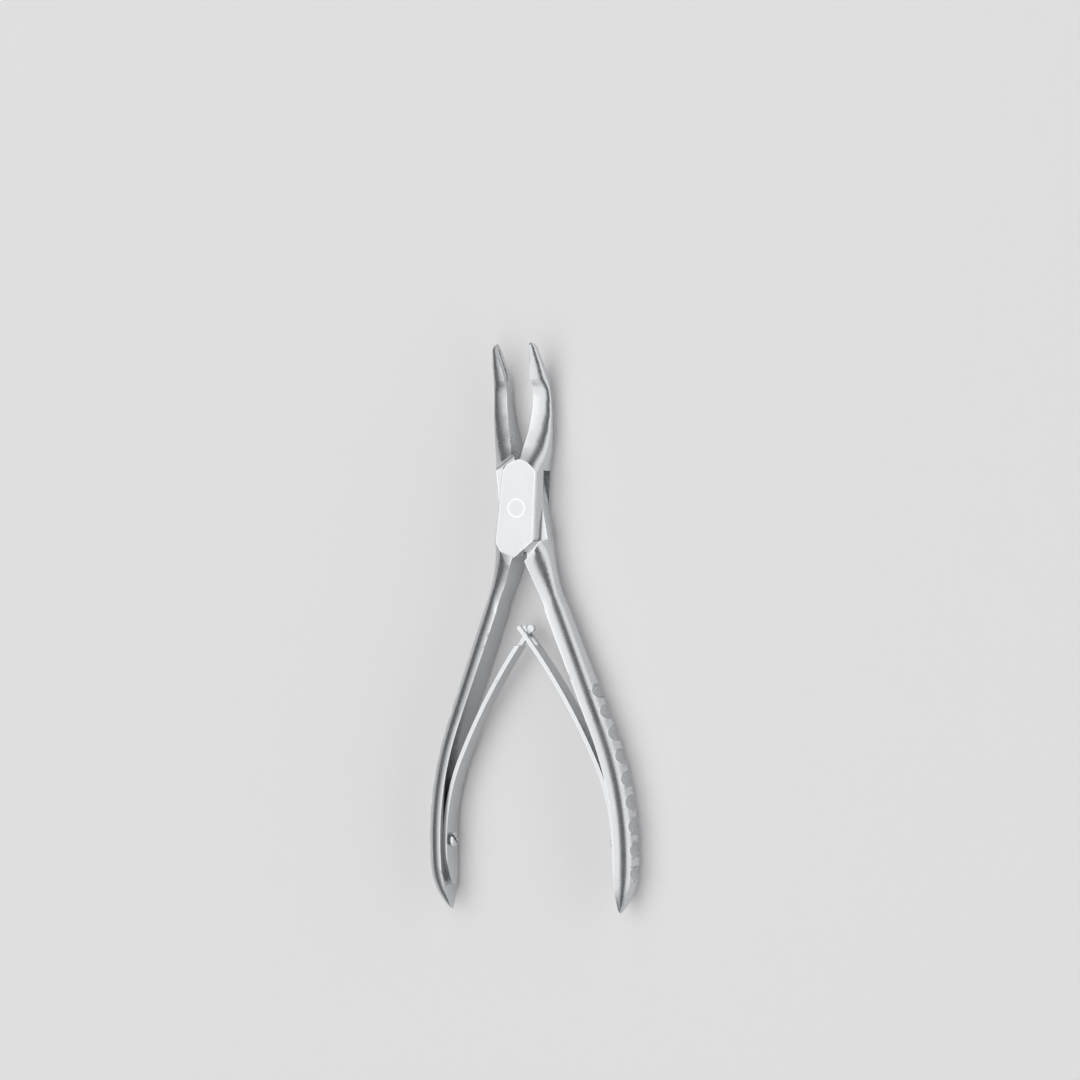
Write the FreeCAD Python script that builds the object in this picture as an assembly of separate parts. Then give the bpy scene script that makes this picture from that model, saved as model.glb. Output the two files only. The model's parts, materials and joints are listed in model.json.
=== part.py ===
import FreeCAD, Part
import math
import os
from FreeCAD import Vector

# A bone rongeur with a box joint and two interlocked leaf springs.
# It lies on its back. X points right, Y runs from the pivot to the jaws and Z is the pivot's axis.
# The origin is on the pivot's axis, in the back face of the box. All sizes are in millimetres.
# Each half is drawn in the closed tool and then turned by half of the opening angle.

# Pose
opening_angle = 12.7
half_opening = opening_angle / 2

# Box joint
box_depth = 9.2
box_crown = 12.5
box_top = 9.0
box_bottom = -9.0
waist_half_width = 5.6
bridge_drop = 4.5
bridge_half_width = 6.5
bridge_crown = 9.6
hip_half_width = 6.3
tongue_thickness = 3.8
tongue_clearance = 0.04
tongue_radius = 10.9
mortise_gap = 0.3
pivot_pin_diameter = 4.4
pin_running_clearance = 0.03

# Shoulders, where a full half meets the plates of the box
jaw_shoulder_height = 12.3
jaw_shoulder_slope = 28.0
handle_shoulder_depth = 12.5
handle_shoulder_slope = 43.0
handle_shoulder_side = 5.1
shoulder_gap = 0.8
ground_faces_end = 18.0

# Jaws
jaw_neck_in_at = 12.0
jaw_root_at = 15.0
jaw_root_thickness = 5.95
jaw_drop = 0.9
jaw_neck_at = 29.3
jaw_neck_depth = 2.8
jaw_bend_start = 28.0
jaw_bend_radius = 12.0
jaw_bend_angle = 23.0
jaw_tip_length = 8.9
jaw_heel_depth = 4.3
jaw_tip_thickness = 1.3
jaw_tip_depth = 2.2
jaw_taper_power = 1.9
jaw_depth_power = 1.8
rim_gap = 0.06
relief_start = 15.0
relief_end = 32.4
relief_depth = 0.75

# Cups ground into the facing sides of the jaws
cup_heel_radius = 1.05
cup_tip_radius = 0.45
cup_tip_wall = 0.35

# Handles, along the line of their flat inner faces
crotch_depth = 12.0
handle_splay = 15.0
handle_straight = 45.5
handle_bow_radius = 83.0
handle_bow_angle = 24.2
handle_root_at = 7.5
handle_root_thickness = 5.0
handle_neck_at = 15.0
handle_neck_thickness = 4.65
handle_neck_width = 7.7
palm_radius = 4.6
toe_radius = 17.0
toe_nose_radius = 0.9

# Finger pits on the rounded outer sides
pit_count = 9
pit_first = 37.6
pit_pitch = 5.5
pit_radius = 2.8
pit_depth = 1.0

# Leaf springs
spring_thickness = 1.0
spring_seat_clearance = 0.05
spring_base_width = 6.2
spring_tip_width = 4.1
spring_base_taper = 9.0
spring_end_from_toe = 6.0
spring_seat_length = 11.5
spring_root_radius = 52.0
spring_root_angle = 22.5
spring_crossing_depth = 31.4
fork_overlap = 2.6
link_tongue_overlap = 1.9
fork_slot_width = 2.1
fork_slot_length = 5.6
link_tongue_width = 1.5
link_tongue_length = 5.4
link_bead_radius = 0.85

# Spring screws
screw_from_toe = 17.4
screw_head_diameter = 3.8
screw_head_height = 0.9
screw_head_bevel = 0.4
screw_shank_diameter = 2.2
screw_grip = 3.4
screw_hole_clearance = 0.15
screw_slot_width = 0.6
screw_slot_depth = 0.5
screw_slot_turn = 40.0

mid_height = box_depth / 2
far = 60.0
length_axis = Vector(0, 1, 0)
side_axis = Vector(1, 0, 0)
pivot_axis = Vector(0, 0, 1)


def heading_vector(angle):
    return Vector(math.cos(math.radians(angle)), math.sin(math.radians(angle)), 0)


def turned_point(point, angle):
    """The point turned about the pivot's axis."""
    turn = FreeCAD.Rotation(pivot_axis, angle)
    return turn.multVec(point)


def opened(shape, angle):
    """The shape turned about the pivot's axis."""
    result = shape.copy()
    result.rotate(Vector(0, 0, 0), pivot_axis, angle)
    return result


def mirrored(shape):
    """The shape on the other side of the tool's middle plane."""
    return shape.mirror(Vector(0, 0, 0), side_axis)


# A track is a start point, a heading in degrees and a list of pieces, each a length and a turn.
# A turn of zero is a straight run, and a positive turn bends to the left.

def track_state(track, distance):
    """Point and heading after a distance along the track; the last piece runs on past its end."""
    point, heading, pieces = track
    left = distance
    for number, (length, turn) in enumerate(pieces):
        last = number == len(pieces) - 1
        part = left if last else min(left, length)
        share = turn * part / length
        point, heading = moved_on(point, heading, part, share)
        left -= part
        if left <= 0 and not last:
            break
    return point, heading


def moved_on(point, heading, length, turn):
    """One step of a track: a chord of the arc with this length and turn."""
    half_turn = math.radians(turn) / 2
    chord = length if turn == 0 else length * math.sin(half_turn) / half_turn
    return point + heading_vector(heading + turn / 2) * chord, heading + turn


def track_length(track):
    return sum(length for length, turn in track[2])


def track_edges(track, offset):
    """Edges of the track, moved to its left by the offset."""
    point, heading, pieces = track
    edges = []
    for length, turn in pieces:
        middle, middle_heading = moved_on(point, heading, length / 2, turn / 2)
        end, end_heading = moved_on(point, heading, length, turn)
        places = [(point, heading), (middle, middle_heading), (end, end_heading)]
        spots = [place + heading_vector(angle + 90) * offset for place, angle in places]
        if turn == 0:
            edges.append(Part.LineSegment(spots[0], spots[2]).toShape())
        else:
            edges.append(Part.Arc(*spots).toShape())
        point, heading = end, end_heading
    return edges


def track_end(track):
    return track_state(track, track_length(track))


def strip_face(track, right_offset, left_offset):
    """The flat region between two parallel offsets of a track."""
    right = track_edges(track, right_offset)
    left = track_edges(track, left_offset)
    start = Part.makeLine(right[0].Vertexes[0].Point, left[0].Vertexes[0].Point)
    end = Part.makeLine(right[-1].Vertexes[-1].Point, left[-1].Vertexes[-1].Point)
    return Part.Face(Part.Wire(Part.__sortEdges__(right + [end] + left + [start])))


def prism(points, low, high):
    """A closed outline in plan, raised from one height to another."""
    outline = Part.makePolygon([Vector(x, y, low) for x, y in points + points[:1]])
    return Part.Face(outline).extrude(Vector(0, 0, high - low))


def conic(start, corner, end, fullness):
    """A quarter of an ellipse where the fullness is the root of a half, and squarer where it is more."""
    curve = Part.BezierCurve()
    curve.setPoles([start, corner, end])
    curve.setWeight(2, fullness)
    return curve.toShape()


def d_section(origin, outward, across, outer, half_depth, fullness):
    """A flat side just past the origin and a rounded side that crowns at the outer distance."""
    upper = origin - outward * overlap + across * half_depth
    lower = origin - outward * overlap - across * half_depth
    crown = origin + outward * outer
    over = conic(upper, crown + across * half_depth, crown, fullness)
    under = conic(crown, crown - across * half_depth, lower, fullness)
    return Part.Wire([over, under, Part.makeLine(lower, upper)])


round_fullness = math.sqrt(0.5)
box_fullness = 1.1
overlap = 0.05


# Jaw, drawn on the right side

jaw_bend_length = math.radians(jaw_bend_angle) * jaw_bend_radius
jaw_length = jaw_bend_start + jaw_bend_length + jaw_tip_length
jaw_track = (
    Vector(0, 0, 0),
    90.0,
    [(jaw_bend_start, 0), (jaw_bend_length, jaw_bend_angle), (jaw_tip_length, 0)],
)


def jaw_place(distance):
    """Point and tilt of the jaw's centre line, which drops a little and then bends towards +Z."""
    flat_point, heading = track_state(jaw_track, distance)
    share = (flat_point.y - box_top) / (jaw_root_at - box_top)
    height = mid_height - jaw_drop * min(1.0, share)
    return Vector(0, flat_point.y, height - flat_point.x), heading - 90


def jaw_thickness(distance):
    share = (distance - jaw_root_at) / (jaw_length - jaw_root_at)
    return jaw_tip_thickness + (jaw_root_thickness - jaw_tip_thickness) * (1 - share ** jaw_taper_power)


def jaw_half_depth(distance):
    """Falls from the box to the neck, swells to the heel of the cup and narrows to the tip."""
    heel_at = jaw_length - jaw_tip_length
    if distance < jaw_neck_at:
        share = 1 - (distance - box_top) / (jaw_neck_at - box_top)
        return (jaw_neck_depth + (box_crown - jaw_neck_depth) * share ** jaw_depth_power) / 2
    if distance < heel_at:
        share = (distance - jaw_neck_at) / (heel_at - jaw_neck_at)
        return (jaw_neck_depth + (jaw_heel_depth - jaw_neck_depth) * share) / 2
    share = (distance - heel_at) / jaw_tip_length
    return (jaw_heel_depth + (jaw_tip_depth - jaw_heel_depth) * share) / 2


def spread(start, end, steps):
    """Evenly spaced stations after the start, up to and with the end."""
    return [start + (end - start) * (number + 1) / steps for number in range(steps)]


def jaw_sections():
    """Sections from the waist of the box to the rounded tip."""
    nose_length = jaw_tip_depth / 2
    bend_end = jaw_bend_start + jaw_bend_length
    nose_start = jaw_length - nose_length
    shoulder_width = (waist_half_width + jaw_root_thickness) / 2
    sections = [(jaw_neck_in_at, shoulder_width, jaw_half_depth(jaw_neck_in_at))]
    stations = (
        [jaw_root_at]
        + spread(jaw_root_at, jaw_bend_start, 3)
        + spread(jaw_bend_start, bend_end, 3)
        + spread(bend_end, nose_start, 2)
    )
    for at in stations:
        sections.append((at, jaw_thickness(at), jaw_half_depth(at)))
    for lean in (45, 80):
        at = nose_start + nose_length * math.sin(math.radians(lean))
        shrink = math.cos(math.radians(lean))
        sections.append((at, jaw_thickness(at) * shrink, jaw_half_depth(at) * shrink))
    wires = [box_section(box_top / 2), box_section(box_top)]
    for at, width, half_depth in sections:
        centre, tilt = jaw_place(at)
        lean = math.radians(tilt)
        across = Vector(0, -math.sin(lean), math.cos(lean))
        wires.append(d_section(centre, side_axis, across, width, half_depth, round_fullness))
    return wires


def box_section(level):
    """Section of the right side of the box at one level."""
    share = (level - box_bottom) / (box_top - box_bottom)
    half_width = hip_half_width + (waist_half_width - hip_half_width) * share
    centre = Vector(0, level, mid_height)
    return d_section(centre, side_axis, pivot_axis, half_width, box_crown / 2, box_fullness)


# Handle, drawn on the right side along its flat inner face

handle_bow_length = math.radians(handle_bow_angle) * handle_bow_radius
palm_arc = palm_radius + overlap
toe_centre = math.sqrt((toe_radius - toe_nose_radius) ** 2 - (toe_radius - palm_arc) ** 2)
handle_track = (
    Vector(0, -crotch_depth, 0),
    handle_splay - 90,
    [(handle_straight, 0), (handle_bow_length, -handle_bow_angle), (toe_centre + toe_nose_radius, 0)],
)
handle_length = track_length(handle_track)
pit_joints = [pit_first + pit_pitch * (number - 0.5) for number in range(pit_count + 1)]


def handle_place(distance):
    """Point at mid height on the handle's flat face, with the way along it and the way out of its back."""
    point, heading = track_state(handle_track, distance)
    return point + pivot_axis * mid_height, heading_vector(heading), heading_vector(heading + 90)


def handle_thickness(distance):
    """Thickness on the straight run and the bow, from the flat face to the ridge."""
    share = (distance - handle_neck_at) / (handle_straight - handle_neck_at)
    return handle_neck_thickness + (palm_radius - handle_neck_thickness) * min(1.0, share)


def handle_section(distance, thickness, width):
    point, along, outward = handle_place(distance)
    return d_section(point, outward, pivot_axis, thickness, width / 2, round_fullness)


def neck_section():
    return handle_section(handle_neck_at, handle_neck_thickness, handle_neck_width)


def shank():
    """The straight run, with one piece for each pit."""
    joints = [at for at in pit_joints if at < handle_straight - pit_radius]
    sections = [neck_section()]
    for at in joints + [handle_straight]:
        share = (at - handle_neck_at) / (handle_straight - handle_neck_at)
        width = handle_neck_width + (2 * palm_arc - handle_neck_width) * share
        sections.append(handle_section(at, handle_thickness(at), width))
    return Part.makeLoft(sections, True, True)


def shoulder():
    """The stretch that swells from the handle's neck into the box."""
    outward = heading_vector(handle_splay / 2)
    bridge = Vector(0, box_bottom - bridge_drop, mid_height)
    sections = [
        neck_section(),
        handle_section(handle_root_at, handle_root_thickness, handle_neck_width),
        d_section(bridge, outward, pivot_axis, bridge_half_width, bridge_crown / 2, round_fullness),
        box_section(box_bottom),
    ]
    return Part.makeLoft(sections, True, False)


def half_round(point, along, outward):
    """A half circle on the handle's flat face, with its straight side just past that face."""
    centre = point - outward * overlap
    side = pivot_axis * palm_arc
    bow = Part.Arc(centre + side, centre + outward * palm_arc, centre - side).toShape()
    return Part.Face(Part.Wire([bow, Part.makeLine(centre - side, centre + side)]))


def bow():
    """The palm stretch, a half-round bar bent round the centre of the bow, with one piece for each pit."""
    bow_end = handle_straight + handle_bow_length
    joints = [at for at in pit_joints if handle_straight + pit_radius < at < bow_end]
    pieces = []
    for start, end in zip([handle_straight] + joints, joints + [bow_end]):
        point, along, outward = handle_place(start)
        turn = math.degrees((end - start) / handle_bow_radius)
        face = half_round(point, along, outward)
        pieces.append(face.revolve(point - outward * handle_bow_radius, pivot_axis, -turn))
    return pieces


def toe():
    """A half-round ogive with a small nose, turned about the flat face."""
    point, along, outward = handle_place(handle_straight + handle_bow_length)
    centre = point - outward * overlap
    arc_centre = centre - pivot_axis * (toe_radius - palm_arc)
    nose_centre = centre + along * toe_centre
    lean = math.atan2(toe_centre, toe_radius - palm_arc)
    meeting = arc_centre + along * (toe_radius * math.sin(lean)) + pivot_axis * (toe_radius * math.cos(lean))
    halfway = arc_centre + along * (toe_radius * math.sin(lean / 2)) + pivot_axis * (
        toe_radius * math.cos(lean / 2)
    )
    nose_lean = (lean + math.pi / 2) / 2
    nose_middle = nose_centre + along * (toe_nose_radius * math.sin(nose_lean)) + pivot_axis * (
        toe_nose_radius * math.cos(nose_lean)
    )
    tip = nose_centre + along * toe_nose_radius
    start = centre + pivot_axis * palm_arc
    profile = Part.Wire(
        [
            Part.makeLine(centre, start),
            Part.Arc(start, halfway, meeting).toShape(),
            Part.Arc(meeting, nose_middle, tip).toShape(),
            Part.makeLine(tip, centre),
        ]
    )
    return Part.Face(profile).revolve(centre, along, -180)


def side_blank():
    """The right side of the closed tool, from toe to jaw tip."""
    middle = Part.makeLoft([box_section(box_bottom), box_section(box_top / 2)], True, True)
    jaw = Part.makeLoft(jaw_sections(), True, True)
    return toe().fuse(bow() + [shank(), shoulder(), middle, jaw])


def handle_gap():
    """The space between the flat inner faces of the handles."""
    right = track_edges(handle_track, 0)
    left = [mirrored(edge) for edge in right]
    right_end = right[-1].Vertexes[-1].Point
    left_end = Vector(-right_end.x, right_end.y, 0)
    floor = Part.makePolygon(
        [right_end, right_end - length_axis * far, left_end - length_axis * far, left_end]
    )
    outline = Part.Wire(Part.__sortEdges__(right + left + floor.Edges))
    gap = Part.Face(outline).extrude(Vector(0, 0, far))
    gap.translate(Vector(0, 0, mid_height - far / 2))
    return gap


def ground_faces():
    """Stock that grinding takes off the front and back of the box and handles."""
    width = 2 * far
    length = 3 * far
    back = Part.makeBox(width, length, far, Vector(-far, ground_faces_end - length, -far))
    front = Part.makeBox(width, length, far, Vector(-far, ground_faces_end - length, box_depth))
    return back.fuse(front)


def jaw_relief():
    """A shallow arc that keeps the jaws apart behind their cutting rims."""
    chord = relief_end - relief_start
    radius = (chord * chord / 4 + relief_depth ** 2) / (2 * relief_depth)
    middle = (relief_start + relief_end) / 2
    right = Part.makeCylinder(radius, far, Vector(relief_depth - radius, middle, 0))
    return right.common(mirrored(right))


def pits():
    """Finger pits milled across the outer ridge of the right handle."""
    cutters = []
    for number in range(pit_count):
        at = pit_first + pit_pitch * number
        point, along, outward = handle_place(at)
        centre = point + outward * (handle_thickness(at) + pit_radius - pit_depth)
        cutters.append(Part.makeCylinder(pit_radius, 2 * palm_arc, centre - pivot_axis * palm_arc))
    return Part.makeCompound(cutters)


def closed_blank():
    """Both sides of the closed tool in one piece, before the halves are parted."""
    right = side_blank().cut(pits())
    whole = right.fuse(mirrored(right))
    return whole.cut([handle_gap(), ground_faces()])


# Parting lines in plan. The plates of the box reach the first pair of shoulders, and the full
# depth of the other half starts one gap further out.

jaw_rise = math.tan(math.radians(jaw_shoulder_slope))
handle_rise = math.tan(math.radians(handle_shoulder_slope))
jaw_step = shoulder_gap / math.cos(math.radians(jaw_shoulder_slope))
handle_step = shoulder_gap / math.cos(math.radians(handle_shoulder_slope))
half_rim = rim_gap / 2


def box_half_outline():
    side = -handle_shoulder_depth + handle_shoulder_side * handle_rise
    return [
        (half_rim, far),
        (far, far),
        (far, side),
        (handle_shoulder_side, side),
        (half_rim, -handle_shoulder_depth),
        (-half_rim, -handle_shoulder_depth),
        (-half_rim, -2 * far),
        (-far, -2 * far),
        (-far, jaw_shoulder_height - far * jaw_rise),
        (half_rim, jaw_shoulder_height),
    ]


def tongue_jaw_outline():
    top = jaw_shoulder_height + jaw_step
    return [(-half_rim, far), (-far, far), (-far, top - far * jaw_rise), (-half_rim, top)]


def tongue_handle_outline():
    inner = -handle_shoulder_depth - handle_step
    side = inner + handle_shoulder_side * handle_rise
    return [
        (half_rim, inner),
        (handle_shoulder_side, side),
        (far, side),
        (far, -2 * far),
        (half_rim, -2 * far),
    ]


def tongue_layer(radius, gap, low, high):
    """The round tongue with its two roots: the jaw's on the upper left, the handle's on the lower right."""
    disc = Part.makeCylinder(radius, high - low, Vector(0, 0, low))
    upper = prism([(gap, 0), (gap, far), (-far, far), (-far, 0)], low, high)
    lower = prism([(-gap, 0), (-gap, -2 * far), (far, -2 * far), (far, 0)], low, high)
    return disc.fuse([upper, lower])


def half_stock():
    """Prisms that part the blank into its two halves."""
    low = mid_height - tongue_thickness / 2
    high = mid_height + tongue_thickness / 2
    chamber = tongue_layer(
        tongue_radius + mortise_gap, half_rim, low - tongue_clearance, high + tongue_clearance
    )
    box_stock = prism(box_half_outline(), -far, far).cut(chamber)
    tongue = tongue_layer(tongue_radius, -half_rim, low, high)
    jaw = prism(tongue_jaw_outline(), -far, far)
    handle = prism(tongue_handle_outline(), -far, far)
    return box_stock, tongue.fuse([jaw, handle])


def cup_cutter():
    """A spoon-shaped hollow along the middle of the bent tip, widest at its heel."""
    heel, tilt = jaw_place(jaw_length - jaw_tip_length)
    lean = math.radians(tilt)
    along = Vector(0, math.cos(lean), math.sin(lean))
    length = jaw_tip_length - cup_tip_radius - cup_tip_wall
    slope = math.asin((cup_heel_radius - cup_tip_radius) / length)
    heel_out = Vector(cup_heel_radius * math.sin(slope), cup_heel_radius * math.cos(slope), 0)
    tip_out = Vector(length + cup_tip_radius * math.sin(slope), cup_tip_radius * math.cos(slope), 0)
    heel_side = cup_arc_middle(0, cup_heel_radius, (90 - math.degrees(slope) + 180) / 2)
    tip_side = cup_arc_middle(length, cup_tip_radius, (90 - math.degrees(slope)) / 2)
    heel_pole = Vector(-cup_heel_radius, 0, 0)
    tip_pole = Vector(length + cup_tip_radius, 0, 0)
    profile = Part.Wire(
        [
            Part.Arc(heel_pole, heel_side, heel_out).toShape(),
            Part.makeLine(heel_out, tip_out),
            Part.Arc(tip_out, tip_side, tip_pole).toShape(),
            Part.makeLine(tip_pole, heel_pole),
        ]
    )
    spoon = Part.Face(profile).revolve(Vector(0, 0, 0), side_axis, 360)
    turn = FreeCAD.Rotation(side_axis, along)
    spoon.Placement = FreeCAD.Placement(heel, turn)
    return spoon


def cup_arc_middle(centre, radius, angle):
    turn = math.radians(angle)
    return Vector(centre + radius * math.cos(turn), radius * math.sin(turn), 0)


# Leaf springs, drawn on the right side in the opened tool

def spring_track(overlap):
    """The right spring's middle line, from its base near the toe up past the crossing."""
    base_at = handle_length - spring_end_from_toe
    point, heading = track_state(handle_track, base_at)
    inward = heading_vector(heading - 90)
    stand_off = spring_seat_clearance + spring_thickness / 2
    start = turned_point(point + inward * stand_off, half_opening)
    start_heading = heading + 180 + half_opening
    seat_radius = handle_bow_radius - stand_off
    toe_run = max(0.0, base_at - handle_straight - handle_bow_length)
    seat_run = spring_seat_length - toe_run
    pieces = [(toe_run, 0)] if toe_run > 0 else []
    pieces.append((seat_run * seat_radius / handle_bow_radius, math.degrees(seat_run / handle_bow_radius)))
    pieces.append((math.radians(spring_root_angle) * spring_root_radius, spring_root_angle))
    root_end, root_heading = track_end((start, start_heading, pieces))
    chord = Vector(0, -spring_crossing_depth, 0) - root_end
    half_turn = math.degrees(math.atan2(chord.y, chord.x)) - root_heading
    radius = chord.Length / (2 * math.sin(math.radians(half_turn)))
    blade = math.radians(2 * half_turn) * radius + overlap
    pieces.append((blade, math.degrees(blade / radius)))
    return start, start_heading, pieces


def spring_blank(track):
    """A strip along the track, trimmed to a width that tapers and rounds off at the base."""
    half = spring_thickness / 2
    strip = strip_face(track, -half, half).extrude(Vector(0, 0, box_depth))
    base = track[0]
    tip = track_end(track)[0]
    wide = spring_base_width / 2
    narrow = spring_tip_width / 2
    waist = base.y + spring_base_taper
    end = tip.y + spring_thickness
    round_end = Part.Ellipse(
        Vector(0, base.y, mid_height), Vector(0, waist, mid_height + wide), Vector(0, waist, mid_height)
    )
    arc = Part.Arc(round_end, -math.pi / 2, math.pi / 2).toShape()
    ends = [vertex.Point for vertex in arc.Vertexes]
    ends.sort(key=lambda spot: spot.z)
    sides = Part.makePolygon(
        [ends[0], Vector(0, end, mid_height - narrow), Vector(0, end, mid_height + narrow), ends[1]]
    )
    outline = Part.Face(Part.Wire(Part.__sortEdges__([arc] + sides.Edges)))
    mask = outline.extrude(side_axis * (2 * far))
    mask.translate(side_axis * -far)
    return strip.common(mask)


def screw_frame():
    """Seat of the right spring screw in the opened tool: a point on the flat and the way out of it."""
    point, heading = track_state(handle_track, handle_length - screw_from_toe)
    inward = turned_point(heading_vector(heading - 90), half_opening)
    return turned_point(point, half_opening) + pivot_axis * mid_height, inward


def screw_hole(radius):
    seat, inward = screw_frame()
    return Part.makeCylinder(radius, 4 * screw_grip, seat - inward * (2 * screw_grip), inward)


def fork_spring():
    """The right spring, with a fork at its tip."""
    blank = spring_blank(spring_track(fork_overlap))
    crossing = -spring_crossing_depth
    slot = Part.makeBox(
        far,
        fork_slot_length,
        fork_slot_width,
        Vector(-far / 2, crossing - fork_slot_length / 2, mid_height - fork_slot_width / 2),
    )
    hole = screw_hole(screw_shank_diameter / 2 + screw_hole_clearance)
    return blank.cut([slot, hole])


def tongue_spring():
    """The left spring, with a narrow tongue that ends in a rolled bead."""
    track = spring_track(link_tongue_overlap)
    blank = spring_blank(track)
    shoulder = -spring_crossing_depth - link_tongue_length / 2
    side_height = box_depth / 2
    lower = Part.makeBox(
        far, far, side_height, Vector(-far / 2, shoulder, mid_height - link_tongue_width / 2 - side_height)
    )
    upper = Part.makeBox(
        far, far, side_height, Vector(-far / 2, shoulder, mid_height + link_tongue_width / 2)
    )
    tip = track_end(track)[0]
    bead = Part.makeCylinder(
        link_bead_radius, link_tongue_width, tip + pivot_axis * (mid_height - link_tongue_width / 2)
    )
    hole = screw_hole(screw_shank_diameter / 2 + screw_hole_clearance)
    return mirrored(blank.cut([lower, upper, hole]).fuse(bead).removeSplitter())


def spring_screw():
    """The right spring screw: a low round head with a slot, and a shank set in the handle."""
    seat, inward = screw_frame()
    head_seat = seat + inward * (2 * spring_seat_clearance + spring_thickness)
    shank_length = (head_seat - seat).Length + screw_grip
    shank = Part.makeCylinder(screw_shank_diameter / 2, shank_length, seat - inward * screw_grip, inward)
    side_height = screw_head_height - screw_head_bevel
    side = Part.makeCylinder(screw_head_diameter / 2, side_height, head_seat, inward)
    bevel = Part.makeCone(
        screw_head_diameter / 2,
        screw_head_diameter / 2 - screw_head_bevel,
        screw_head_bevel,
        head_seat + inward * side_height,
        inward,
    )
    head = side.fuse(bevel)
    slot = Part.makeBox(
        screw_head_diameter * 2,
        screw_slot_width,
        screw_slot_depth * 2,
        Vector(-screw_head_diameter, -screw_slot_width / 2, -screw_slot_depth),
    )
    turn = FreeCAD.Rotation(pivot_axis, inward).multiply(FreeCAD.Rotation(pivot_axis, screw_slot_turn))
    slot.Placement = FreeCAD.Placement(head_seat + inward * screw_head_height, turn)
    return shank.fuse(head.cut(slot)).removeSplitter()


def pivot_cylinder(radius):
    return Part.makeCylinder(radius, box_depth)


def halves():
    """The box half and the tongue half, opened."""
    blank = closed_blank()
    box_stock, tongue_stock = half_stock()
    relief = jaw_relief()
    cup = cup_cutter()
    pin = pivot_pin_diameter / 2
    box_half = blank.common(box_stock).cut([relief, cup, pivot_cylinder(pin)])
    tongue_half = blank.common(tongue_stock).cut([relief, cup, pivot_cylinder(pin + pin_running_clearance)])
    box_half = opened(box_half, -half_opening)
    tongue_half = opened(tongue_half, half_opening)
    seat_hole = screw_hole(screw_shank_diameter / 2).common(screw_grip_space())
    return box_half.cut(mirrored(seat_hole)), tongue_half.cut(seat_hole)


def screw_grip_space():
    """The stretch of the screw's axis that lies inside the handle."""
    seat, inward = screw_frame()
    return Part.makeCylinder(screw_head_diameter, screw_grip + screw_head_height, seat - inward * screw_grip, inward)


os.makedirs("parts", exist_ok=True)
box_half, tongue_half = halves()
right_screw = spring_screw()
nodes = {
    "box_half": box_half.Solids[0],
    "tongue_half": tongue_half.Solids[0],
    "pivot_pin": pivot_cylinder(pivot_pin_diameter / 2),
    "left_spring": tongue_spring().Solids[0],
    "right_spring": fork_spring().Solids[0],
    "left_spring_screw": mirrored(right_screw).Solids[0],
    "right_spring_screw": right_screw.Solids[0],
}
for name, shape in nodes.items():
    shape.exportStep("parts/" + name + ".step")
    print(name, shape.ShapeType, len(shape.Solids), round(shape.Volume, 2), shape.isValid(), shape.BoundBox)
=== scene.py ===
import json
import math
import bpy
import bmesh
import numpy as np
from mathutils import Matrix, Vector
from mathutils.kdtree import KDTree

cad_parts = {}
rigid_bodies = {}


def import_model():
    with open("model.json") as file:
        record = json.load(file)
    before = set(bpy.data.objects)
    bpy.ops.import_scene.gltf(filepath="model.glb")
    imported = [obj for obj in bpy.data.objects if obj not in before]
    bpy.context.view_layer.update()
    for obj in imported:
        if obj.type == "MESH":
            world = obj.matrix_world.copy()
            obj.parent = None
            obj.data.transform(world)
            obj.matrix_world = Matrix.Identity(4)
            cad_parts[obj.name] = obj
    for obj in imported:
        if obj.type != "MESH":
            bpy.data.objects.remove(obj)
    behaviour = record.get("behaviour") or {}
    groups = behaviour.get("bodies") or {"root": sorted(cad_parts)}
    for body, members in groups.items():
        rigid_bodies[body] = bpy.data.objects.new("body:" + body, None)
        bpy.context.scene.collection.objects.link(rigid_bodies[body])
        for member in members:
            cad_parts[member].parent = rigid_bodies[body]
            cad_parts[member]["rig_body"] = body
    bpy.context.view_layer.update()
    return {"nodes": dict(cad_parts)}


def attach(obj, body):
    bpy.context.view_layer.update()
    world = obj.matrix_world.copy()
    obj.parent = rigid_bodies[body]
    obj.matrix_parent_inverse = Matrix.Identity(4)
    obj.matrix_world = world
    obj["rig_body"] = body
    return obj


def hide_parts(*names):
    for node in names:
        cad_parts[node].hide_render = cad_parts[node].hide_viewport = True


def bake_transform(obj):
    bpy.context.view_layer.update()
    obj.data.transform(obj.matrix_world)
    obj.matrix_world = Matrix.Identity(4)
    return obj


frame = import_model()
print("stage: frame loaded")

mm = 0.001


# camera, at the angle of the picture: above, turned to the tool's right and rolled a little
camera = {
    "turnDeg": 25.0,
    "rollDeg": 1.56,
    "distance": 750 * mm,
    "pixelsPerMm": 4.035,
    "imagePixels": 1080,
    "pivotPixel": (524.2, 508.0),
    "pivotHeight": 4.6 * mm,
    "sensor": 36.0,
    "nearest": 0.01,
    "farthest": 20.0,
}


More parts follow.
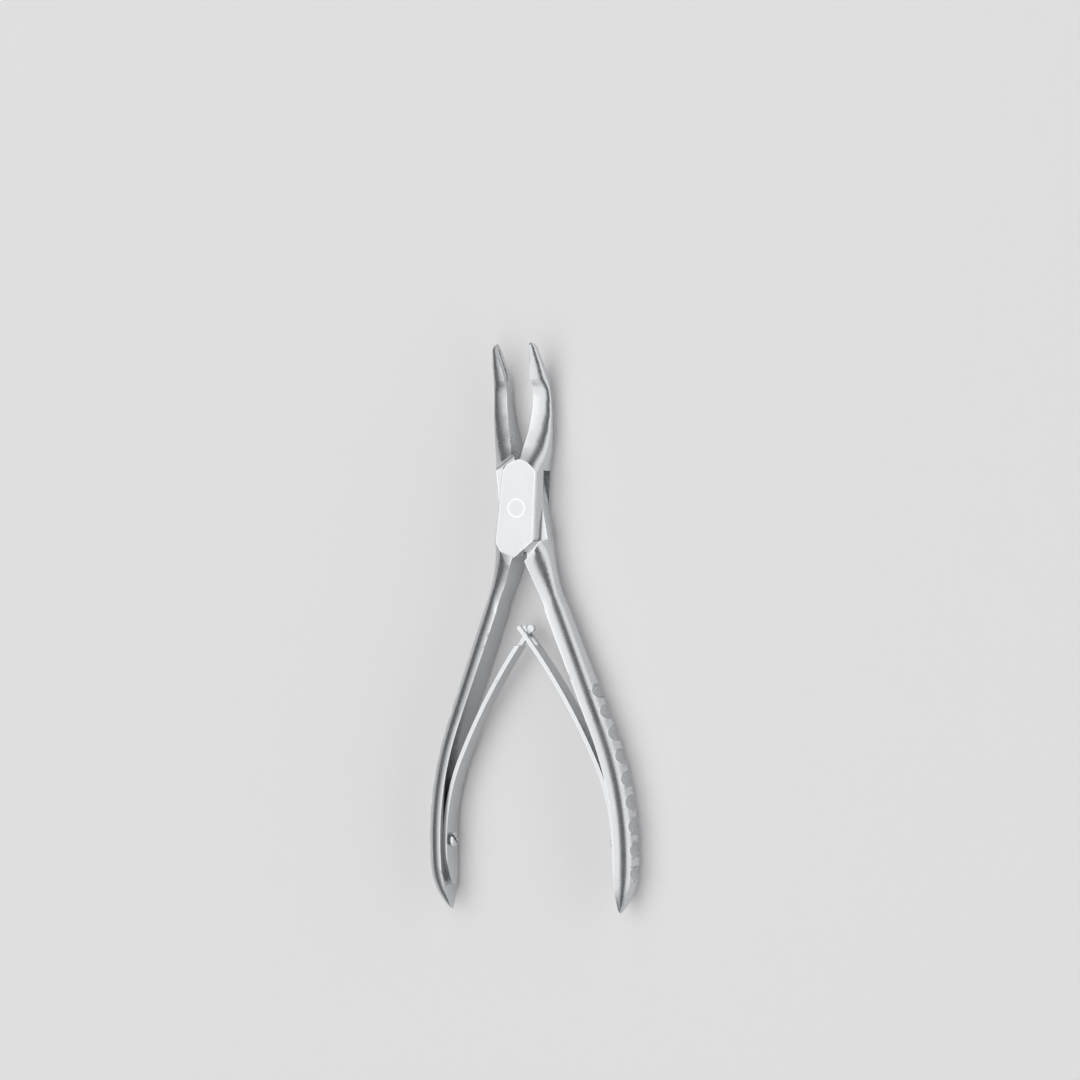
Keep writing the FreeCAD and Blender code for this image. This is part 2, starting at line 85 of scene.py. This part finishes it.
def makeCamera(s):
    turn, roll = math.radians(s["turnDeg"]), math.radians(s["rollDeg"])
    toCamera = Vector((math.sin(turn), 0, math.cos(turn)))
    level = Vector((math.cos(turn), 0, -math.sin(turn)))
    along = Vector((0, 1, 0))
    right = level * math.cos(roll) - along * math.sin(roll)
    up = along * math.cos(roll) + level * math.sin(roll)
    half = s["imagePixels"] / 2
    aside = (half - s["pivotPixel"][0]) / s["pixelsPerMm"] * mm
    lift = (s["pivotPixel"][1] - half) / s["pixelsPerMm"] * mm
    target = Vector((0, 0, s["pivotHeight"])) + right * aside + up * lift
    data = bpy.data.cameras.new("camera")
    data.sensor_width = s["sensor"]
    data.lens = s["sensor"] * s["distance"] / (s["imagePixels"] / s["pixelsPerMm"] * mm)
    data.clip_start = s["nearest"]
    data.clip_end = s["farthest"]
    obj = bpy.data.objects.new("camera", data)
    bpy.context.scene.collection.objects.link(obj)
    place = target + toCamera * s["distance"]
    rows = [(right[i], up[i], toCamera[i], place[i]) for i in range(3)] + [(0, 0, 0, 1)]
    obj.matrix_world = Matrix(rows)
    bpy.context.scene.camera = obj


makeCamera(camera)


# node group helpers

def newGroup(name, inputs, outputs):
    group = bpy.data.node_groups.new(name, "ShaderNodeTree")
    for label, kind, value in inputs:
        socket = group.interface.new_socket(label, in_out="INPUT", socket_type=kind)
        if value is not None:
            socket.default_value = value
    for label, kind in outputs:
        group.interface.new_socket(label, in_out="OUTPUT", socket_type=kind)
    nodes = group.nodes
    return group, nodes, group.links, nodes.new("NodeGroupInput"), nodes.new("NodeGroupOutput")


def mathNode(nodes, links, operation, a, b=None, clamp=False):
    node = nodes.new("ShaderNodeMath")
    node.operation = operation
    node.use_clamp = clamp
    for slot, value in ((0, a), (1, b)):
        if value is None:
            continue
        if isinstance(value, (int, float)):
            node.inputs[slot].default_value = value
        else:
            links.new(value, node.inputs[slot])
    return node.outputs[0]


strokeNoise = {"detail": 3.0, "lowest": 0.3, "highest": 0.7}


def brushGroup(s=strokeNoise):
    # fine satin scratches: noise squeezed along one direction of the object, so that it runs as short strokes
    group, nodes, links, inward, outward = newGroup(
        "satinStrokes",
        [
            ("Vector", "NodeSocketVector", None),
            ("Across", "NodeSocketFloat", 9000.0),
            ("Along", "NodeSocketFloat", 450.0),
            ("Low", "NodeSocketFloat", 0.2),
            ("High", "NodeSocketFloat", 0.35),
        ],
        [("Stroke", "NodeSocketFloat"), ("Roughness", "NodeSocketFloat")],
    )
    split = nodes.new("ShaderNodeSeparateXYZ")
    links.new(inward.outputs["Vector"], split.inputs[0])
    joined = nodes.new("ShaderNodeCombineXYZ")
    for axis, stretch in ((0, "Across"), (1, "Along"), (2, "Across")):
        stretched = mathNode(nodes, links, "MULTIPLY", split.outputs[axis], inward.outputs[stretch])
        links.new(stretched, joined.inputs[axis])
    noise = nodes.new("ShaderNodeTexNoise")
    noise.inputs["Scale"].default_value = 1.0
    noise.inputs["Detail"].default_value = s["detail"]
    links.new(joined.outputs[0], noise.inputs["Vector"])
    links.new(noise.outputs["Fac"], outward.inputs["Stroke"])
    spread = nodes.new("ShaderNodeMapRange")
    links.new(noise.outputs["Fac"], spread.inputs["Value"])
    spread.inputs["From Min"].default_value = s["lowest"]
    spread.inputs["From Max"].default_value = s["highest"]
    links.new(inward.outputs["Low"], spread.inputs["To Min"])
    links.new(inward.outputs["High"], spread.inputs["To Max"])
    links.new(spread.outputs["Result"], outward.inputs["Roughness"])
    return group


wearAndPaintedLightNoise = {"fineScale": 1400.0, "fineDetail": 2.0, "raise": 0.45, "cloudDetail": 4.0}


def wearAndPaintedLightGroup(s=wearAndPaintedLightNoise):
    # masks for rubbed outer edges, which are part wear and part painted highlight, and for inner corners,
    # which get painted shade, broken up by noise, and a cloud for handling marks
    group, nodes, links, inward, outward = newGroup(
        "edgeWearAndPaintedLight",
        [
            ("Vector", "NodeSocketVector", None),
            ("Edge", "NodeSocketFloat", 0.0),
            ("Corner", "NodeSocketFloat", 0.0),
            ("Edge Amount", "NodeSocketFloat", 0.6),
            ("Corner Amount", "NodeSocketFloat", 0.5),
            ("Cloud Scale", "NodeSocketFloat", 90.0),
        ],
        [("Rubbed And Highlight", "NodeSocketFloat"), ("Corner Shade", "NodeSocketFloat"), ("Cloud", "NodeSocketFloat")],
    )
    fine = nodes.new("ShaderNodeTexNoise")
    fine.inputs["Scale"].default_value = s["fineScale"]
    fine.inputs["Detail"].default_value = s["fineDetail"]
    links.new(inward.outputs["Vector"], fine.inputs["Vector"])
    ragged = mathNode(nodes, links, "ADD", fine.outputs["Fac"], s["raise"])
    # outer edges: part rubbed wear, part painted highlight
    rubbedAndHighlight = mathNode(nodes, links, "MULTIPLY", inward.outputs["Edge"], ragged, clamp=True)
    rubbedAndHighlight = mathNode(nodes, links, "MULTIPLY", rubbedAndHighlight, inward.outputs["Edge Amount"])
    links.new(rubbedAndHighlight, outward.inputs["Rubbed And Highlight"])
    # inner corners: painted shade
    cornerShade = mathNode(nodes, links, "MULTIPLY", inward.outputs["Corner"], ragged, clamp=True)
    cornerShade = mathNode(nodes, links, "MULTIPLY", cornerShade, inward.outputs["Corner Amount"])
    links.new(cornerShade, outward.inputs["Corner Shade"])
    cloud = nodes.new("ShaderNodeTexNoise")
    links.new(inward.outputs["Cloud Scale"], cloud.inputs["Scale"])
    cloud.inputs["Detail"].default_value = s["cloudDetail"]
    links.new(inward.outputs["Vector"], cloud.inputs["Vector"])
    links.new(cloud.outputs["Fac"], outward.inputs["Cloud"])
    return group


satinStrokes = brushGroup()
edgeWearAndPaintedLight = wearAndPaintedLightGroup()


def mixColour(nodes, links, factor, first, second):
    node = nodes.new("ShaderNodeMix")
    node.data_type = "RGBA"
    links.new(factor, node.inputs["Factor"])
    for label, value in (("A", first), ("B", second)):
        if isinstance(value, tuple):
            node.inputs[label].default_value = (*value, 1)
        else:
            links.new(value, node.inputs[label])
    return node.outputs["Result"]


def attributeValue(nodes, name):
    node = nodes.new("ShaderNodeAttribute")
    node.attribute_name = name
    return node.outputs["Fac"]


# what all the steels share: where the handling marks start and end in the cloud, and how deep the bump is
steelRelief = {"cloudLow": 0.35, "cloudHigh": 0.65, "bumpDepth": 0.02 * mm}


def steelMaterial(name, s, shared=steelRelief):
    material = bpy.data.materials.new(name)
    material.use_nodes = True
    nodes, links = material.node_tree.nodes, material.node_tree.links
    shader = nodes["Principled BSDF"]
    shader.inputs["Metallic"].default_value = 1.0
    place = nodes.new("ShaderNodeTexCoord").outputs["Object"]
    strokes = nodes.new("ShaderNodeGroup")
    strokes.node_tree = satinStrokes
    links.new(place, strokes.inputs["Vector"])
    strokes.inputs["Low"].default_value = s["roughLow"]
    strokes.inputs["High"].default_value = s["roughHigh"]
    edgeAndCornerMasks = nodes.new("ShaderNodeGroup")
    edgeAndCornerMasks.node_tree = edgeWearAndPaintedLight
    links.new(place, edgeAndCornerMasks.inputs["Vector"])
    links.new(attributeValue(nodes, "outerEdge"), edgeAndCornerMasks.inputs["Edge"])
    links.new(attributeValue(nodes, "innerCorner"), edgeAndCornerMasks.inputs["Corner"])
    edgeAndCornerMasks.inputs["Edge Amount"].default_value = s["edgeAmount"]
    edgeAndCornerMasks.inputs["Corner Amount"].default_value = s["cornerAmount"]

    # colour: strokes, then outer edges lightened as wear and painted highlight, and inner corners darkened as
    # painted shade
    colour = mixColour(nodes, links, strokes.outputs["Stroke"], s["colourDark"], s["colourLight"])
    colour = mixColour(nodes, links, edgeAndCornerMasks.outputs["Rubbed And Highlight"], colour, s["colourRubbedAndHighlight"])
    colour = mixColour(nodes, links, edgeAndCornerMasks.outputs["Corner Shade"], colour, s["colourCornerShade"])
    links.new(colour, shader.inputs["Base Color"])

    # roughness: strokes plus marks, smoother on rubbed edges
    marks = nodes.new("ShaderNodeMapRange")
    links.new(edgeAndCornerMasks.outputs["Cloud"], marks.inputs["Value"])
    marks.inputs["From Min"].default_value = shared["cloudLow"]
    marks.inputs["From Max"].default_value = shared["cloudHigh"]
    marks.inputs["To Min"].default_value = -s["marks"]
    marks.inputs["To Max"].default_value = s["marks"]
    rough = mathNode(nodes, links, "ADD", strokes.outputs["Roughness"], marks.outputs["Result"])
    smoother = mathNode(nodes, links, "MULTIPLY", edgeAndCornerMasks.outputs["Rubbed And Highlight"], -s["edgeShine"])
    rough = mathNode(nodes, links, "ADD", rough, smoother, clamp=True)
    links.new(rough, shader.inputs["Roughness"])

    bump = nodes.new("ShaderNodeBump")
    bump.inputs["Strength"].default_value = s["bump"]
    bump.inputs["Distance"].default_value = shared["bumpDepth"]
    height = strokes.outputs["Stroke"]
    if s["ringsPerMm"]:
        # turned rings round the piece's own axis
        wave = s["ringsPerMm"] * 2 * math.pi
        ringPhase = mathNode(nodes, links, "MULTIPLY", attributeValue(nodes, "ringAt"), wave)
        height = mathNode(nodes, links, "SINE", ringPhase)
    links.new(height, bump.inputs["Height"])
    links.new(bump.outputs["Normal"], shader.inputs["Normal"])
    return material


# in each steel, the rubbed colour is part wear and part painted highlight on outer edges, and the corner
# colour is painted shade in inner corners
satinSteel = steelMaterial("satinSteel", {
    "colourDark": (0.56, 0.57, 0.58), "colourLight": (0.66, 0.67, 0.68),
    "colourRubbedAndHighlight": (0.80, 0.80, 0.80), "colourCornerShade": (0.22, 0.22, 0.23),
    "roughLow": 0.20, "roughHigh": 0.30, "marks": 0.03, "edgeAmount": 0.7, "edgeShine": 0.08,
    "cornerAmount": 0.7, "bump": 0.12, "ringsPerMm": 0,
})
springSteel = steelMaterial("springSteel", {
    "colourDark": (0.56, 0.57, 0.58), "colourLight": (0.67, 0.68, 0.69),
    "colourRubbedAndHighlight": (0.80, 0.80, 0.80), "colourCornerShade": (0.20, 0.20, 0.21),
    "roughLow": 0.18, "roughHigh": 0.28, "marks": 0.03, "edgeAmount": 0.7, "edgeShine": 0.06,
    "cornerAmount": 0.6, "bump": 0.12, "ringsPerMm": 0,
})
polishedSteel = steelMaterial("polishedSteel", {
    "colourDark": (0.66, 0.67, 0.68), "colourLight": (0.74, 0.75, 0.76),
    "colourRubbedAndHighlight": (0.84, 0.84, 0.84), "colourCornerShade": (0.12, 0.12, 0.12),
    "roughLow": 0.12, "roughHigh": 0.18, "marks": 0.02, "edgeAmount": 0.5, "edgeShine": 0.03,
    "cornerAmount": 0.9, "bump": 0.10, "ringsPerMm": 5,
})
print("stage: steels mixed")


# dressed copies of the CAD nodes: doubles merged, faces made finer and normals kept smooth across round faces
skin = {
    "mergeWithin": 0.002 * mm,
    "sharpDeg": 28.0,
    "longest": 2.0 * mm,
    "longPasses": 5,
    "nearEdge": 0.45 * mm,
    "edgePasses": 2,
    "edgeWidth": 0.32 * mm,
}


def splitLong(work, faces, longest):
    edges = {edge for face in faces for edge in face.edges if edge.calc_length() > longest}
    bmesh.ops.subdivide_edges(work, edges=list(edges), cuts=1)
    bmesh.ops.triangulate(work, faces=[face for face in work.faces if len(face.verts) > 3])


def foldedEdges(work, sharp):
    # outer edges fold away from the metal, inner corners fold into it
    outer, inner = [], []
    for edge in work.edges:
        fold = edge.calc_face_angle_signed(0.0)
        if fold > sharp:
            outer.append(edge)
        elif fold < -sharp:
            inner.append(edge)
    return outer, inner


def nearness(places, edges, width):
    # 1 on an edge, falling to 0 at one width from it
    points = [vert.co.copy() for vert in {vert for edge in edges for vert in edge.verts}]
    if not points:
        return np.zeros(len(places))
    tree = KDTree(len(points))
    for number, point in enumerate(points):
        tree.insert(point, number)
    tree.balance()
    away = np.array([tree.find(place)[2] for place in places])
    return np.clip(1 - away / width, 0, 1)


def dressNode(node, material, s=skin):
    source = frame["nodes"][node]
    mesh = source.data.copy()
    mesh.name = node + "Skin"
    sharp = math.radians(s["sharpDeg"])
    work = bmesh.new()
    work.from_mesh(mesh)
    bmesh.ops.remove_doubles(work, verts=work.verts, dist=s["mergeWithin"])
    work.to_mesh(mesh)
    if "custom_normal" in mesh.attributes:
        mesh.attributes.remove(mesh.attributes["custom_normal"])
    mesh.shade_smooth()
    mesh.set_sharp_from_angle(angle=sharp)
    normals = np.empty(len(mesh.loops) * 3)
    mesh.corner_normals.foreach_get("vector", normals)
    kept = mesh.attributes.new("softNormal", "FLOAT_VECTOR", "CORNER")
    kept.data.foreach_set("vector", normals)

    work.clear()
    work.from_mesh(mesh)
    for _ in range(s["longPasses"]):
        splitLong(work, work.faces, s["longest"])
    for _ in range(s["edgePasses"]):
        outer, inner = foldedEdges(work, sharp)
        touched = {face for edge in outer + inner for vert in edge.verts for face in vert.link_faces}
        splitLong(work, touched, s["nearEdge"])
    outer, inner = foldedEdges(work, sharp)
    places = [vert.co.copy() for vert in work.verts]
    # edge masks: outer edges for wear and painted highlight, inner corners for painted shade
    masks = {
        "outerEdge": nearness(places, outer, s["edgeWidth"]),
        "innerCorner": nearness(places, inner, s["edgeWidth"]),
    }
    work.to_mesh(mesh)
    work.free()
    for name, values in masks.items():
        mesh.attributes.new(name, "FLOAT", "POINT").data.foreach_set("value", values)
    normals = np.empty(len(mesh.loops) * 3)
    mesh.attributes["softNormal"].data.foreach_get("vector", normals)
    normals = normals.reshape(-1, 3)
    normals /= np.linalg.norm(normals, axis=1, keepdims=True)
    mesh.normals_split_custom_set(normals)
    mesh.attributes.remove(mesh.attributes["softNormal"])
    mesh.materials.clear()
    mesh.materials.append(material)
    obj = bpy.data.objects.new(node + "Skin", mesh)
    bpy.context.scene.collection.objects.link(obj)
    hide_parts(node)
    print("  " + node, len(mesh.polygons), "triangles")
    return obj


def addRings(obj, point, direction):
    # distance of each point from the turning axis, in millimetres
    mesh = obj.data
    place = np.empty(len(mesh.vertices) * 3)
    mesh.vertices.foreach_get("co", place)
    offset = place.reshape(-1, 3) - np.array(point)
    way = np.array(direction) / np.linalg.norm(direction)
    along = offset @ way
    away = np.linalg.norm(offset - along[:, None] * way, axis=1) / mm
    mesh.attributes.new("ringAt", "FLOAT", "POINT").data.foreach_set("value", away)


for node in ("box_half", "tongue_half"):
    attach(dressNode(node, satinSteel), frame["nodes"][node]["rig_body"])
print("stage: halves dressed")


# screws and pin, with turned rings round their own axes
turnedPieces = {
    "pivot_pin": {"point": (0, 0, 0), "axis": (0, 0, 1), "material": satinSteel},
    "left_spring_screw": {"point": (-22.0, -82.52, 4.6), "axis": (1, -0.025, 0), "material": polishedSteel},
    "right_spring_screw": {"point": (22.0, -82.52, 4.6), "axis": (-1, -0.025, 0), "material": polishedSteel},
}
finerSkin = {**skin, "longest": 0.5 * mm, "nearEdge": 0.25 * mm}
for node, facts in turnedPieces.items():
    piece = dressNode(node, facts["material"], finerSkin)
    addRings(piece, [value * mm for value in facts["point"]], facts["axis"])
    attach(piece, frame["nodes"][node]["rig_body"])
print("stage: screws and pin dressed")


def dressSpring(node):
    piece = dressNode(node, springSteel)
    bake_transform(piece)


dressSpring("left_spring")
dressSpring("right_spring")
print("stage: springs dressed")


# floor, lights and world
studio = {
    "floorSize": 1.6,
    "floorColour": (0.97, 0.97, 0.97),
    "floorRoughness": 0.9,
    "keyPlace": (-0.35, 0.25, 0.8),
    "keySize": (0.5, 0.5),
    "keyAim": (0, -0.03, 0),
    "keyPower": 0.25,
    "strength": 1.0,
    # brightness of the surroundings by angle from straight above, in degrees towards the tool's right
    "bands": [
        (-180, 0.2), (-90, 0.16), (-64, 0.16), (-44, 0.7), (-28, 1.25), (14, 1.25), (24, 0.35),
        (34, 0.14), (54, 0.14), (62, 1.2), (88, 1.2), (100, 0.2), (180, 0.2),
    ],
    # the surroundings dim between these slopes towards both ends of the tool
    "endFrom": 0.55,
    "endTo": 0.95,
    "endDim": 0.4,
    "coolness": 1.01,
}


def makeFloor(s):
    half = s["floorSize"] / 2
    mesh = bpy.data.meshes.new("floor")
    corners = [(-half, -half, 0), (half, -half, 0), (half, half, 0), (-half, half, 0)]
    mesh.from_pydata(corners, [], [(0, 1, 2, 3)])
    obj = bpy.data.objects.new("floor", mesh)
    bpy.context.scene.collection.objects.link(obj)
    material = bpy.data.materials.new("floorWhite")
    material.use_nodes = True
    shader = material.node_tree.nodes["Principled BSDF"]
    shader.inputs["Base Color"].default_value = (*s["floorColour"], 1)
    shader.inputs["Roughness"].default_value = s["floorRoughness"]
    shader.inputs["Specular IOR Level"].default_value = 0.0
    mesh.materials.append(material)


def makeKey(s):
    data = bpy.data.lights.new("keyLamp", "AREA")
    data.shape = "RECTANGLE"
    data.size, data.size_y = s["keySize"]
    data.energy = s["keyPower"]
    obj = bpy.data.objects.new("keyLamp", data)
    bpy.context.scene.collection.objects.link(obj)
    aim = Vector(s["keyAim"]) - Vector(s["keyPlace"])
    obj.location = s["keyPlace"]
    obj.rotation_euler = aim.to_track_quat("-Z", "Y").to_euler()


def makeWorld(s):
    # long soft boxes that run beside the tool: a broad one above and a low strip at its right
    world = bpy.data.worlds.new("studioWorld")
    bpy.context.scene.world = world
    world.use_nodes = True
    nodes, links = world.node_tree.nodes, world.node_tree.links
    background = nodes["Background"]
    place = nodes.new("ShaderNodeTexCoord")
    split = nodes.new("ShaderNodeSeparateXYZ")
    links.new(place.outputs["Generated"], split.inputs[0])
    angle = mathNode(nodes, links, "ARCTAN2", split.outputs[0], split.outputs[2])
    position = mathNode(nodes, links, "MULTIPLY_ADD", angle, 1 / (2 * math.pi))
    position.node.inputs[2].default_value = 0.5
    ramp = nodes.new("ShaderNodeValToRGB")
    ramp.color_ramp.interpolation = "EASE"
    stops = ramp.color_ramp.elements
    while len(stops) < len(s["bands"]):
        stops.new(0.5)
    for stop, (degrees, value) in zip(stops, s["bands"]):
        stop.position = (degrees + 180) / 360
    for stop, (degrees, value) in zip(stops, s["bands"]):
        stop.color = (value, value, value * s["coolness"], 1)
    links.new(position, ramp.inputs[0])
    ends = nodes.new("ShaderNodeMapRange")
    ends.interpolation_type = "SMOOTHSTEP"
    links.new(mathNode(nodes, links, "ABSOLUTE", split.outputs[1]), ends.inputs["Value"])
    ends.inputs["From Min"].default_value = s["endFrom"]
    ends.inputs["From Max"].default_value = s["endTo"]
    ends.inputs["To Min"].default_value = 1.0
    ends.inputs["To Max"].default_value = s["endDim"]
    strength = mathNode(nodes, links, "MULTIPLY", ends.outputs["Result"], s["strength"])
    links.new(ramp.outputs[0], background.inputs["Color"])
    links.new(strength, background.inputs["Strength"])


makeFloor(studio)
makeKey(studio)
makeWorld(studio)
bpy.context.scene.view_settings.view_transform = "Standard"
print("stage: studio ready")
